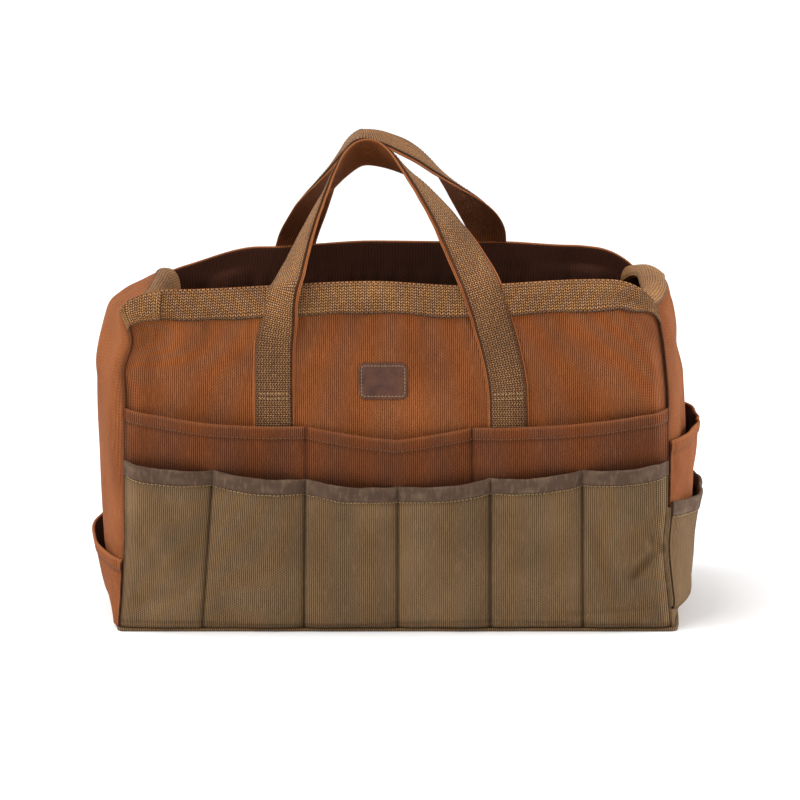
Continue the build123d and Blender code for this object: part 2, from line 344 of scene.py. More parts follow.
class Thread:
    """Rows of stitches that become one piece."""

    def __init__(self, name, material, radius=0.38):
        self.name = name
        self.material = material
        self.radius = radius
        self.points = []
        self.faces = []
        self.count = 0

    def row(self, path, normals, pitch, random_seed):
        """Stitches along a line of points, lying on a surface with those normals."""
        distance = travel(path)
        number = max(int(distance[-1] / pitch), 1)
        starts = (np.arange(number) + 0.5) * distance[-1] / number
        generator = np.random.default_rng(random_seed)
        starts = starts + generator.uniform(-0.12, 0.12, number)
        length = stitch_fill * distance[-1] / number

        centre = resample(starts, distance, path)
        ahead = resample(np.clip(starts + 0.5, 0, distance[-1]), distance, path)
        behind = resample(np.clip(starts - 0.5, 0, distance[-1]), distance, path)
        along = ahead - behind
        along = unit(along)
        out = resample(starts, distance, normals)
        side = np.cross(out, along)
        side = unit(side)
        skew = generator.uniform(-0.05, 0.12, number)[:, None]
        along = along + side * skew
        self.add(centre, along, side, out, length)

    def add(self, centre, along, side, out, length):
        """One short length of thread for each centre."""
        rings = []
        for shift, girth, lift in stitch_stations:
            for k in range(stitch_sides):
                angle = 2 * math.pi * k / stitch_sides
                ring = (
                    centre
                    + along * (length * shift)
                    + side * (self.radius * girth * math.cos(angle))
                    + out * (self.radius * (girth * math.sin(angle) + lift) - stitch_sink)
                )
                rings.append(ring)
        block = np.stack(rings, axis=1)
        sides = stitch_sides
        per = len(rings)
        self.points.append(block.reshape(-1, 3))
        for i in range(len(centre)):
            base = self.count + i * per
            for ring in range(len(stitch_stations) - 1):
                for k in range(sides):
                    a = base + ring * sides + k
                    b = base + ring * sides + (k + 1) % sides
                    self.faces.append([a, b, b + sides, a + sides])
            self.faces.append([base + k for k in range(sides)][::-1])
            self.faces.append([base + per - sides + k for k in range(sides)])
        self.count += per * len(centre)

    def piece(self):
        made = put(self.name, np.concatenate(self.points), self.faces, [self.material])
        return made

    def make(self):
        made = self.piece()
        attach(made, "bag")
        return made


def finish_piece(piece, slot, *nodes):
    if nodes:
        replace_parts(piece, *nodes)
    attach(piece, "bag")


# ---------------------------------------------------------------- materials
class Nodes:
    """Short ways to write a material's node tree."""

    def __init__(self, name):
        self.material = bpy.data.materials.new(name)
        self.material.use_nodes = True
        self.tree = self.material.node_tree
        self.shader = self.tree.nodes["Principled BSDF"]

    def node(self, kind, **settings):
        made = self.tree.nodes.new(kind)
        for key, value in settings.items():
            setattr(made, key, value)
        return made

    def link(self, source, target):
        if isinstance(source, (int, float, tuple)):
            target.default_value = source
        else:
            self.tree.links.new(source, target)

    def math(self, operation, a, b=None):
        made = self.node("ShaderNodeMath", operation=operation)
        self.link(a, made.inputs[0])
        if b is not None:
            self.link(b, made.inputs[1])
        return made.outputs[0]

    def noise(self, vector, scale, detail=2.0, roughness=0.5):
        made = self.node("ShaderNodeTexNoise")
        self.link(vector, made.inputs["Vector"])
        made.inputs["Scale"].default_value = scale
        made.inputs["Detail"].default_value = detail
        made.inputs["Roughness"].default_value = roughness
        return made.outputs["Fac"]

    def stretched(self, vector, x, y):
        made = self.node("ShaderNodeMapping")
        self.link(vector, made.inputs["Vector"])
        made.inputs["Scale"].default_value = (x, y, 1.0)
        return made.outputs["Vector"]

    def uv(self):
        made = self.node("ShaderNodeUVMap")
        made.uv_map = "Cloth"
        return made.outputs["UV"]

    def axes(self, vector):
        made = self.node("ShaderNodeSeparateXYZ")
        self.link(vector, made.inputs[0])
        return made.outputs[0], made.outputs[1]

    def mix(self, share, a, b):
        made = self.node("ShaderNodeMix", data_type="RGBA")
        self.link(share, made.inputs["Factor"])
        self.link(a, made.inputs["A"])
        self.link(b, made.inputs["B"])
        return made.outputs["Result"]

    def between(self, value, low, high, to_low=0.0, to_high=1.0):
        made = self.node("ShaderNodeMapRange")
        self.link(value, made.inputs["Value"])
        for name, number in (("From Min", low), ("From Max", high), ("To Min", to_low), ("To Max", to_high)):
            made.inputs[name].default_value = number
        return made.outputs["Result"]

    def wash(self, under, value, low, high, share, over):
        """One colour over another, from none of it where value is low to share of it where it is high."""
        return self.mix(self.between(value, low, high, 0.0, share), under, over)

    def hump(self, value):
        """0 to 1 and back over each whole step of value."""
        return self.math("SINE", self.math("MULTIPLY", self.math("FRACT", value), math.pi))

    def broken(self, ridge, gap, share):
        """Ridges that the gaps cut down by a share of their height."""
        return self.math("MULTIPLY", ridge, self.math("ADD", self.math("MULTIPLY", gap, share), 1 - share))

    def place(self):
        return self.node("ShaderNodeTexCoord").outputs["Object"]

    def tone(self):
        made = self.node("ShaderNodeAttribute", attribute_name="tone", attribute_type="GEOMETRY")
        return made.outputs["Fac"]

    def bump(self, height, distance):
        made = self.node("ShaderNodeBump")
        made.inputs["Distance"].default_value = distance
        self.link(height, made.inputs["Height"])
        self.link(made.outputs["Normal"], self.shader.inputs["Normal"])

    def finish(self, colour, roughness, sheen=0.0, specular=0.3, sheen_tint=(1, 1, 1, 1)):
        self.link(colour, self.shader.inputs["Base Color"])
        self.link(roughness, self.shader.inputs["Roughness"])
        self.shader.inputs["Sheen Weight"].default_value = sheen
        self.shader.inputs["Sheen Roughness"].default_value = 0.45
        self.shader.inputs["Sheen Tint"].default_value = sheen_tint
        self.shader.inputs["Specular IOR Level"].default_value = specular
        return self.material


def colour(red, green, blue):
    """An sRGB colour of 0 to 255 as linear."""
    linear = []
    for value in (red, green, blue):
        share = value / 255
        linear.append(share / 12.92 if share <= 0.04045 else ((share + 0.055) / 1.055) ** 2.4)
    return (*linear, 1.0)


def ribbed_weave(n, uv, rib, step):
    """Height of a ribbed weave: ribs up the cloth, each broken into short floats that alternate."""
    u, v = n.axes(n.stretched(uv, 1 / (rib * MM), 1 / (step * MM)))
    offset = n.math("MULTIPLY", n.math("ABSOLUTE", n.math("MODULO", n.math("FLOOR", u), 2.0)), 0.5)
    return n.broken(n.hump(u), n.hump(n.math("ADD", v, offset)), 0.55)


def toned(n, body, shade, glint, rubbed):
    """Painted shade darkens the cloth in its seams, folds and under edges, and rubbed edges lighten it, as the
    mesh's tone says.
    """
    tone = n.tone()
    body = n.wash(body, tone, 0.0, 1.0, rubbed, glint)
    # The painted shade's colour: the shade colour at under half its strength.
    dark = (shade[0] * 0.45, shade[1] * 0.45, shade[2] * 0.45, 1.0)
    return n.wash(body, tone, 0.0, -1.0, 0.8, dark)


def woven(name, base, shade, glint, rib, step, depth):
    """Woven cloth: ribs with dark gaps, a few slubs, uneven dye and rubbed edges."""
    n = Nodes(name)
    base, shade, glint = colour(*base), colour(*shade), colour(*glint)
    uv = n.uv()
    weave = ribbed_weave(n, uv, rib, step)
    slubs = n.noise(n.stretched(uv, 900, 90), 1.0, 2.0)
    dye = n.noise(n.stretched(uv, 20, 13), 1.0, 3.0, 0.55)
    speckle = n.noise(uv, 1700, 1.0)
    body = n.wash(shade, weave, 0.14, 0.72, 1.0, base)
    # Painted highlights: glint flecks on the tops of the ribs.
    body = n.mix(n.math("MULTIPLY", n.between(weave, 0.5, 0.92, 0.0, 0.95), speckle), body, glint)
    body = n.wash(body, slubs, 0.5, 0.8, 0.22, glint)
    body = n.wash(body, dye, 0.4, 0.7, 0.3, shade)
    body = toned(n, body, shade, glint, 0.7)
    n.bump(n.math("ADD", weave, n.math("MULTIPLY", slubs, 0.3)), depth * MM)
    roughness = n.between(weave, 0.0, 1.0, 0.98, 0.8)
    return n.finish(body, roughness, sheen=0.1, specular=0.18, sheen_tint=glint)


def chain_webbing(name, base, shade, glint):
    """Webbing: light floats in chevrons that stack into chains across its width."""
    n = Nodes(name)
    base, shade, glint = colour(*base), colour(*shade), colour(*glint)
    uv = n.uv()
    chain, float_pitch = 3.5, 2.1
    across, along = n.axes(n.stretched(uv, 1 / (float_pitch * MM), 1 / (chain * MM)))
    arm = n.math("PINGPONG", n.math("MULTIPLY", along, 2.0), 1.0)
    yarn = n.math("ADD", across, n.math("MULTIPLY", arm, 0.8))
    weave = n.broken(n.hump(yarn), n.hump(n.math("MULTIPLY", along, 2.0)), 0.75)
    flecks = n.noise(n.stretched(uv, 420, 420), 1.0, 2.0)
    dye = n.noise(n.stretched(uv, 40, 20), 1.0, 3.0)
    body = n.wash(shade, weave, 0.12, 0.62, 1.0, base)
    # Painted highlights: glint flecks on the floats.
    light = n.math("MULTIPLY", n.between(weave, 0.5, 0.85), n.between(flecks, 0.36, 0.62, 0.25, 1.0))
    body = n.mix(light, body, glint)
    body = n.wash(body, dye, 0.4, 0.7, 0.35, shade)
    body = toned(n, body, shade, glint, 0.6)
    n.bump(weave, 0.45 * MM)
    return n.finish(body, n.between(weave, 0.0, 1.0, 0.92, 0.6), sheen=0.1, specular=0.3, sheen_tint=glint)


def twill_tape(name, base, shade, glint):
    n = Nodes(name)
    base, shade, glint = colour(*base), colour(*shade), colour(*glint)
    uv = n.uv()
    across, along = n.axes(n.stretched(uv, 1 / (1.1 * MM), 1 / (1.1 * MM)))
    weave = n.broken(n.hump(n.math("ADD", across, along)), n.hump(along), 0.4)
    wear = n.noise(n.stretched(uv, 300, 120), 1.0, 3.0)
    body = n.wash(shade, weave, 0.1, 0.8, 1.0, base)
    body = n.wash(body, wear, 0.5, 0.75, 0.5, glint)
    body = n.wash(body, n.tone(), 0.0, 1.0, 0.6, glint)
    n.bump(weave, 0.2 * MM)
    return n.finish(body, n.between(weave, 0.0, 1.0, 0.95, 0.75), sheen=0.2, specular=0.25, sheen_tint=glint)


def thread_material(name, base, shade):
    n = Nodes(name)
    base, shade = colour(*base), colour(*shade)
    where = n.place()
    ply = n.noise(where, 2600, 1.0)
    body = n.wash(shade, ply, 0.35, 0.65, 1.0, base)
    n.bump(ply, 0.12 * MM)
    return n.finish(body, n.between(ply, 0.3, 0.7, 0.5, 0.75), sheen=0.1, specular=0.4)


def leather_patch(name):
    n = Nodes(name)
    where = n.place()
    cells = n.node("ShaderNodeTexVoronoi")
    n.link(where, cells.inputs["Vector"])
    cells.inputs["Scale"].default_value = 1100.0
    grain = cells.outputs["Distance"]
    cloud = n.noise(where, 90, 4.0)
    body = n.mix(n.between(cloud, 0.35, 0.7), colour(96, 52, 30), colour(64, 33, 20))
    body = n.mix(n.between(grain, 0.0, 0.5, 0.5, 0.0), body, colour(38, 19, 12))
    n.bump(n.math("ADD", grain, n.math("MULTIPLY", cloud, 0.4)), 0.25 * MM)
    return n.finish(body, n.between(cloud, 0.3, 0.7, 0.45, 0.62), specular=0.45)


def board_plastic(name):
    n = Nodes(name)
    where = n.place()
    pebble = n.noise(where, 700, 3.0)
    scuff = n.noise(n.stretched(where, 30, 240), 1.0, 4.0)
    body = n.mix(n.between(scuff, 0.55, 0.75, 0.0, 0.6), colour(34, 33, 32), colour(70, 67, 63))
    n.bump(pebble, 0.2 * MM)
    return n.finish(body, n.between(scuff, 0.4, 0.7, 0.6, 0.42), specular=0.4)


brown = woven("brown_duck", (138, 72, 33), (64, 29, 11), (206, 130, 75), 1.5, 1.2, 0.35)
# A darker copy of the brown duck for the upper pockets, as painted shade.
brown_shaded = woven("brown_duck_pocket_shaded", (110, 56, 26), (52, 24, 10), (164, 100, 58), 1.5, 1.2, 0.35)
# The inside copies, brown and olive, are darker: partly the cloth's coated back, partly painted shade.
brown_inside = woven("brown_duck_inside", (74, 38, 22), (34, 17, 10), (98, 56, 36), 1.3, 1.0, 0.2)
olive = woven("olive_duck", (115, 87, 57), (56, 40, 25), (174, 141, 102), 1.5, 1.3, 0.35)
olive_inside = woven("olive_duck_inside", (66, 54, 40), (34, 28, 20), (92, 78, 60), 1.3, 1.15, 0.2)
webbing = chain_webbing("chain_webbing", (132, 82, 41), (46, 23, 9), (224, 168, 104))
tape = twill_tape("pocket_tape", (96, 73, 57), (48, 36, 28), (128, 104, 82))
seam_tape = twill_tape("seam_tape", (52, 44, 38), (26, 22, 19), (86, 76, 66))
tan_thread = thread_material("tan_thread", (178, 148, 104), (124, 96, 62))
brown_thread = thread_material("brown_thread", (120, 76, 42), (70, 41, 22))
patch = leather_patch("patch_leather")
board = board_plastic("board_plastic")


# ---------------------------------------------------------------- body shell
# The rim stands up between the corners and dips to a tip at each. Each crest has its height above the CAD rim
# at places from -1 to 1 along its side, from the bag's left to its right.
tip_drop = {-1: 17.0, 1: 19.0}
tip_zone = {-1: 0.84, 1: 0.80}
# How much lower each end's back corner stands than its front one.
far_drop = {-1: 13.0, 1: 2.0}
front_crest = ((-1.0, -1.0), (-0.86, -1.0), (-0.1, 6.0), (0.24, 2.5), (0.74, 7.5), (1.0, 6.0))
back_crest = ((-1.0, -14.0), (-0.55, 8.0), (-0.1, 13.0), (0.4, 12.0), (0.7, 9.0), (1.0, 3.0))
# The corner seams' half width at heights from the foot to the rim's tips, at the bag's left and right.
corner_seams = {
    -1: ((2, 218), (30, 215.5), (75, 213), (190, 213), (206, 215.5), (227, 205.5), (237, 210), (251, 216)),
    1: (
        (2, 216), (22, 214), (52, 210), (70, 208.5), (95, 211), (186, 211.5), (213, 209), (230, 207),
        (247, 203),
    ),
}
# The middle of each end from its foot, over its shoulder and in to the rolled edge: the wall, then the top.
end_walls = {
    -1: ((222, 2), (226, 15), (235, 54), (237.5, 130), (240, 203), (236.5, 220), (231, 238), (228, 247)),
    1: ((222, 2), (228, 12), (230, 22), (230, 150), (227, 192), (221, 214), (221.5, 232), (218, 251)),
}
end_tops = {
    -1: ((228, 247), (212, 258), (197, 266), (190, 269.5), (184, 268), (180.5, 260), (180, 251)),
    1: ((218, 251), (216, 258), (211, 265), (204, 269), (198, 268), (194, 262)),
}
# The same top where it meets the front and the back: it runs in behind their rims.
corner_tops = {
    -1: ((216, 249), (208, 254), (200, 259), (193, 262), (188, 260), (185, 254), (184, 246)),
    1: ((203, 245), (200.5, 250), (197, 255.5), (194, 259), (190, 260), (187, 255), (186, 248)),
}
behind_rim = 5.5        # how far the folded-in tops of the ends stay inside the front and back
seam_recess_x = 1.5
seam_recess_y = 2.5
seam_recess_width = 6.0
panel_columns, panel_rows = 191, 131
belly_depth = 4.0
shoulder_depth = 4.0


def soft_between(x, points):
    """A curve through a few points, level at each."""
    places, values = np.array(points).T
    index = np.clip(np.searchsorted(places, x, side="right") - 1, 0, len(places) - 2)
    share = smooth((x - places[index]) / (places[index + 1] - places[index]))
    return values[index] + share * (values[index + 1] - values[index])


def rim_line(place, crest, side):
    """The rim's height along the front (side -1) or back (side 1), from the bag's left to its right."""
    left = place < 0
    zone = np.where(left, tip_zone[-1], tip_zone[1])
    lower = (side + 1) / 2
    tip = rim_height - np.where(left, tip_drop[-1] + far_drop[-1] * lower, tip_drop[1] + far_drop[1] * lower)
    edge = np.clip((np.abs(place) - zone) / (1 - zone), 0, 1)
    rounding = (1 - edge**2.2) ** 0.7
    return tip + (rim_height + soft_between(place, crest) - tip) * rounding


def seam_at(side, z):
    heights, places = np.array(corner_seams[side], float).T
    fine = np.linspace(heights[0], heights[-1], 120)
    line = np.interp(fine, heights, places)
    for _ in range(10):
        soften(line)
    return np.interp(z, fine, line)


def front_back_grid(side, crest, seed):
    """The front (side -1) or back (side 1) panel's outer face, left to right as seen from outside."""
    s, v = np.meshgrid(np.linspace(-1, 1, panel_columns), np.linspace(0, 1, panel_rows))
    place = -side * s
    material_height = floor_of_walls + v * (rim_height - floor_of_walls)
    z = floor_of_walls + v * (rim_line(place, crest, side) - floor_of_walls)
    seam = np.where(place < 0, seam_at(-1, z), seam_at(1, z))
    even_corner = corner_at(material_height)
    corner = even_corner + (seam - even_corner) * np.abs(s) ** 7
    x = place * corner
    to_seam = (1 - np.abs(s)) * corner
    belly = belly_depth * np.sin(math.pi * np.clip(v / 0.9, 0, 1)) ** 0.8 * (1 - s**4)
    open_part = smooth((v - 0.5) / 0.2)
    near_corner = smooth((np.abs(s) - 0.45) / 0.35)
    folds = soft_noise(x, z * 0.22, 46, 90, seed) * (0.8 + 2.4 * near_corner) * open_part
    broad = 1.2 * soft_noise(x, z, 150, 110, seed + 1)
    band = smooth((v - 0.92) / 0.03)
    fan = np.sin((x - 0.35 * (rim_height - z) * np.sign(x)) / 6.5) * near_corner
    fan = 1.8 * fan * hill((v - 0.86) / 0.07)
    gathers = 0.6 * np.sin(x / 2.4 + 3 * soft_noise(x, z, 40, 200, seed + 2))
    gathers = gathers * hill((v - 0.885) / 0.03)
    wave = 1.5 * soft_noise(x, z * 0, 120, 50, seed + 3) * smooth((v - 0.7) / 0.3)
    shoulder = shoulder_depth * hill((to_seam - 14) / 9) * open_part * smooth((0.88 - v) / 0.08)
    relief = belly + (folds + gathers + fan) * (1 - band) + broad * (0.4 + 0.6 * open_part) + wave + shoulder
    edge = hill(to_seam / seam_recess_width)
    y = -(depth_at(material_height) + relief * smooth(to_seam / 14) - seam_recess_y * edge)
    x = x - np.sign(x) * seam_recess_x * edge
    if side > 0:
        y = -y
    return Surface(np.stack([x, y, z], axis=-1), even=True)


def along_line(points, count):
    """Evenly spaced points along a line through a few points."""
    points = np.array(points, float)
    distance = travel(points)
    return resample(np.linspace(0, distance[-1], count), distance, points)


def end_profile_rows(wall, top, wall_rows, top_rows):
    """The wall and the top as one line of (half width, height), with its turns softened."""
    line = np.concatenate([along_line(wall, wall_rows)[:-1], along_line(top, top_rows)])
    for _ in range(7):
        soften(line)
    return line


def end_grid(side, seed, crease):
    """The right (side 1) or left (side -1) end panel's outer face, with its top folded in to the rim.

    crease is how deep the upright crease below the shoulder is.
    """
    wall_rows, top_rows, columns = 101, 41, 113
    middle = end_profile_rows(end_walls[side], end_tops[side], wall_rows, top_rows)
    heights = np.linspace(floor_of_walls, corner_tops[side][0][1], 40)
    seam_wall = list(zip(seam_at(side, heights), heights))
    corner = end_profile_rows(seam_wall, corner_tops[side], wall_rows, top_rows)
    rows = len(middle)
    row = np.arange(rows)[:, None]
    q = np.linspace(-1, 1, columns)[None, :]
    shape = 1 - np.abs(q) ** 2.6
    x = corner[:, :1] + (middle[:, :1] - corner[:, :1]) * shape
    z = corner[:, 1:] + (middle[:, 1:] - corner[:, 1:]) * (1 - np.abs(q) ** 2.2)
    from_front = side * q
    upper = smooth((z - 130) / 110)
    toward_back = np.clip((from_front + 0.1) / 1.1, 0, 1)
    z = z - far_drop[side] * toward_back * upper * (1 - 0.4 * smooth((row - wall_rows) / 25))
    x = x - 0.4 * far_drop[side] * toward_back * upper * shape
    in_top = smooth((row - wall_rows) / 9)
    depth = depth_at(np.minimum(z, rim_height)) - behind_rim * in_top
    y = q * depth
    to_seam = (1 - np.abs(q)) * depth
    top_fade = 1 - 0.75 * smooth((row - wall_rows - 8) / 10)
    folds = soft_noise(y, z * 0.4, 50, 80, seed) * (0.8 + 1.4 * smooth((z - 120) / 70))
    slants = soft_noise(y + 0.7 * z, y * 0.2, 34, 200, seed + 1) * 1.1
    dents = -crease * hill((y + 34 - 0.1 * (200 - z)) / 8)
    dents = dents * smooth((z - 120) / 50) * smooth((226 - z) / 16)
    relief = (folds + slants + dents) * smooth(to_seam / 16) * top_fade
    edge = hill(to_seam / seam_recess_width) * (1 - in_top)
    x = side * (x + relief - seam_recess_x * edge)
    y = y - np.sign(q) * seam_recess_y * edge
    if side < 0:
        y = -y
    return Surface(np.stack([x, y, z], axis=-1), even=True)


front = front_back_grid(-1, front_crest, 11)
back = front_back_grid(1, back_crest, 21)
right_end = end_grid(1, 31, crease=3.5)
left_end = end_grid(-1, 41, crease=0.8)
panel_thickness = 2.0
panels = {"front_panel": front, "back_panel": back, "right_end_panel": right_end, "left_end_panel": left_end}
for name, surface in panels.items():
    points = surface.points
    across = np.abs(np.linspace(-1, 1, points.shape[1]))[None, :]
    seam_shade = -0.85 * hill((1 - across) * 40)
    clouds = 0.12 * soft_noise(points[..., 0] + points[..., 1], points[..., 2], 90, 90, 5)
    panel = cloth("canvas_" + name, points, panel_thickness, [brown, brown_inside], tone=seam_shade + clouds)
    finish_piece(panel, "duck_brown", name)


# ---------------------------------------------------------------- rim webbing
rim_width = 23.5
rim_thickness = 1.7
rim_gap = 0.15
rim_thread = Thread("rim_stitching", brown_thread, radius=0.3)
rim_lap_thread = Thread("rim_lap_stitching", tan_thread, radius=0.3)
lap_place = 0.058
rim_end_zone = 0.07     # share of a side over which the band narrows into its corner
rim_tips = {"front": (0.72, 0.34), "back": (0.34, 0.72)}


def rim_band(name, surface, seed, extra=0.0, span=(0.0, 1.0), columns=241, tips=(1.0, 1.0)):
    """Webbing over the top of one panel, from its edge down. extra lifts it where it laps over another, and
    tips says what share of its width shows at its two ends."""
    rows = 13
    share = np.linspace(*span, columns)
    tall = np.interp(share, np.linspace(0, 1, len(surface.lengths)), surface.lengths)
    first, last = smooth((rim_end_zone - share) / rim_end_zone), smooth((share - 0.93) / rim_end_zone)
    narrowed = 1 - (1 - tips[0]) * first - (1 - tips[1]) * last
    low = 1 - rim_width * narrowed / tall
    height = np.concatenate([[0, 0.025], np.linspace(0.06, 1, rows - 2)])
    up = low + (1 - low) * height[:, None]
    points, normals = surface.at(share[None, :] + 0 * up, up)
    crown = 0.3 * np.sin(math.pi * height)[:, None]
    scallop = 0.5 * soft_noise(share * 430, share * 0, 34, 50, seed) * (1 - height)[:, None] ** 3
    points = points + normals * (rim_thickness + rim_gap + extra + crown)[..., None]
    points[..., 2] += scallop
    tone = 0.12 * soft_noise(points[..., 0] + points[..., 1], points[..., 2], 50, 30, seed + 1)
    # Painted shadow along the band's lower edge, where it meets the panel.
    tone[0] -= 1.0
    tone[1] -= 0.5
    piece = cloth(name, points, rim_thickness, [webbing], tone=tone, turn_weave=True, normals=normals)
    finish_piece(piece, "webbing", "rim_webbing")
    sheet = Surface(points)
    around = np.linspace(0.004, 0.996, 400)
    for height in (0.07, 0.93):
        path, normal = sheet.at(around, np.full(400, height))
        rim_thread.row(path, normal, pitch=3.2, random_seed=seed)
    return sheet


front_band = rim_band("front_rim_webbing", front, 161, tips=rim_tips["front"])
rim_band("back_rim_webbing", back, 163, tips=rim_tips["back"])
for name, surface, seed in (("right", right_end, 165), ("left", left_end, 167)):
    rim_band(name + "_rim_webbing", surface, seed)
# The webbing's two ends meet near the front left corner, where one laps over the other.
rim_band(
    "rim_webbing_lap", front, 169, extra=rim_thickness + 0.1, span=(0.012, lap_place + 0.006), columns=25,
    tips=rim_tips["front"],
)
for place in (lap_place - 0.004, lap_place + 0.001):
    path, normal = front_band.at(np.full(60, place), np.linspace(0.03, 0.97, 60), rim_thickness + 0.1)
    rim_lap_thread.row(path, normal, pitch=2.6, random_seed=171)
rim_lap_thread.make()
rim_thread.make()


# ---------------------------------------------------------------- pocket strips
def mouth_line(node):
    """The CAD mouth as two heights: at the middle and at the corners."""
    points = np.array([v.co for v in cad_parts[node].data.vertices]) / MM
    middle = points[np.abs(points[:, 0]) < 6][:, 2].max()
    return middle, points[:, 2].max()


lower_middle, lower_corner = mouth_line("front_lower_pocket_binding")
upper_middle, upper_corner = mouth_line("front_upper_pocket_strip")
lower_seams = np.linspace(-1, 1, 7)
upper_seams = np.array([-1.0, -0.33, 0.27, 1.0])
first_seam_slant = 0.035
pocket_thickness = 1.6
hem_layer = 0.9
tape_height = 9.5
tape_thickness = 0.8


def in_pocket(s, seams):
    """Which pocket a place along a strip is in, and how far through it, 0 to 1."""
    index = np.clip(np.searchsorted(seams, s, side="right") - 1, 0, len(seams) - 2)
    return index, (s - seams[index]) / (seams[index + 1] - seams[index])


def lower_mouth(s):
    t = in_pocket(s, lower_seams)[1]
    sag = 1.6 * np.sin(math.pi * t)
    return lower_middle + (lower_corner - lower_middle) * np.abs(s) - sag


def upper_mouth(s):
    t = in_pocket(s, upper_seams)[1]
    sag = 3.2 * np.sin(math.pi * t)
    return upper_middle + (upper_corner - upper_middle) * np.abs(s) + 2.0 - sag


def strip_grid(surface, side, seams, mouth, lift, columns, rows):
    """A pocket strip's outer face, left to right as seen from outside. lift says how far it stands off the
    panel, by place, share of its pocket, pocket, height, mouth height and distance to its seam."""
    s, h = np.meshgrid(np.linspace(-1, 1, columns), np.linspace(0, 1, rows))
    top = mouth(s)
    foot = floor_of_walls + 0.6
    z = foot + h * (top - foot)
    index, t = in_pocket(s, seams)
    lean = first_seam_slant * (1 - h) * hill((s - seams[1]) / 0.22) if len(seams) > 4 else 0 * s
    base = surface.on((s - lean + 1) / 2, z)[0]
    corner = corner_at(z)
    to_seam = np.minimum(t, 1 - t) * (seams[index + 1] - seams[index]) * corner
    out = base.copy()
    out[..., 1] += side * lift(s, t, index, z, top, to_seam)
    # The foot turns under all along.
    under = np.clip(1 - (z - foot) / 6.0, 0, 1)
    out[..., 1] -= side * 2.6 * (1 - np.sqrt(1 - 0.98 * under**2))
    out[..., 2] = z
    return out, s, h, z, to_seam


def lower_lift(seed, marks):
    generator = np.random.default_rng(seed)
    fullness = generator.uniform(0.8, 1.15, 6)
    lean = generator.uniform(-0.12, 0.12, 6)

    def lift(s, t, index, z, top, to_seam):
        rise = np.clip(z / top, 0, 1)
        skewed = np.clip(t + lean[index] * np.sin(math.pi * t), 0, 1)
        bulge = np.sin(math.pi * skewed) ** 0.75 * (2.0 + 8.0 * rise**1.6) * fullness[index]
        x = s * corner_at(z)
        pinch = -1.5 * hill(to_seam / 2.0)
        pucker = 0.35 * np.sin(z / 1.9 + 9 * index) * hill(to_seam / 9) * smooth(to_seam / 2)
        relief = 1.5 * soft_noise(x, z, 55, 70, seed + 5) * smooth(to_seam / 14)
        creases = sum(fold(x, z, *mark) for mark in marks)
        foot = smooth(z / 9)
        edge = smooth((1 - np.abs(s)) * corner_at(z) / 5)
        off = 4.2 + (bulge + relief + creases) * foot * edge + (pinch + pucker) * edge
        return np.maximum(off, 2.4)

    return lift


front_marks = (
    # The rightmost pocket's slanting dents, the crease above its foot and the leftmost pocket's folds.
    ((178, 38), (212, 72), 7, 4.6),
    ((150, 96), (176, 22), 10, 2.4),
    ((196, 80), (216, 60), 6, 3.0),
    ((120, 12), (217, 21), 3, 1.3),
    ((-205, 96), (-170, 30), 12, 2.2),
    ((-160, 92), (-196, 40), 10, 1.6),
    ((-212, 20), (-150, 34), 7, 1.5),
    ((20, 70), (58, 24), 10, 1.2),
    ((80, 40), (130, 74), 12, 1.3),
    ((-60, 82), (-20, 30), 12, 1.1),
)
back_marks = (
    ((-178, 38), (-212, 72), 8, 3.0),
    ((120, 90), (170, 30), 12, 2.0),
    ((-40, 80), (-70, 20), 11, 1.5),
    ((30, 30), (60, 84), 12, 1.4),
)


def upper_lift(seed):
    generator = np.random.default_rng(seed)
    fullness = generator.uniform(0.85, 1.15, 3)

    def lift(s, t, index, z, top, to_seam):
        x = s * corner_at(z)
        above = smooth((z - (lower_mouth(s) - 14)) / (top - lower_mouth(s) + 14))
        bulge = np.sin(math.pi * t) ** 0.6 * 9.0 * above * fullness[index]
        relief = 1.5 * soft_noise(x, z * 0.5, 46, 60, seed + 2) * above * smooth(to_seam / 14)
        pinch = -0.6 * hill(to_seam / 2.0)
        edge = smooth((1 - np.abs(s)) * corner_at(z) / 5)
        off = 1.9 + (bulge + relief) * edge + pinch * edge * above
        behind = smooth((lower_mouth(s) - 6 - z) / 16)
        return off * (1 - behind) + 0.3 * behind

    return lift


pocket_thread = Thread("pocket_stitching", tan_thread)
brown_pocket_thread = Thread("upper_pocket_stitching", brown_thread)


def stitch_round_mouth(thread, sheet, tall, drop, pitch, seed, proud=0.0, waver=0.0):
    """A row of stitches along a pocket, by its distance below the mouth."""
    share = np.linspace(0.004, 0.996, 600)
    down = drop + waver * soft_noise(share * 430, share * 0, 26, 50, seed + 3)
    up = 1 - down / np.interp(share, np.linspace(0, 1, len(tall)), tall)
    path, normal = sheet.at(share, up, proud)
    thread.row(path, normal, pitch=pitch, random_seed=seed)


def hemmed(points, below_mouth, width=9.5):
    """The sheet with its hem's second layer standing out of it, and how much of the hem is at each point."""
    hem = smooth((width - below_mouth) / 1.2)
    sunk = 0.35 * hill((below_mouth - width + 1.2) / 0.7)
    return points + grid_normals(points) * (hem_layer * hem - sunk)[..., None], hem


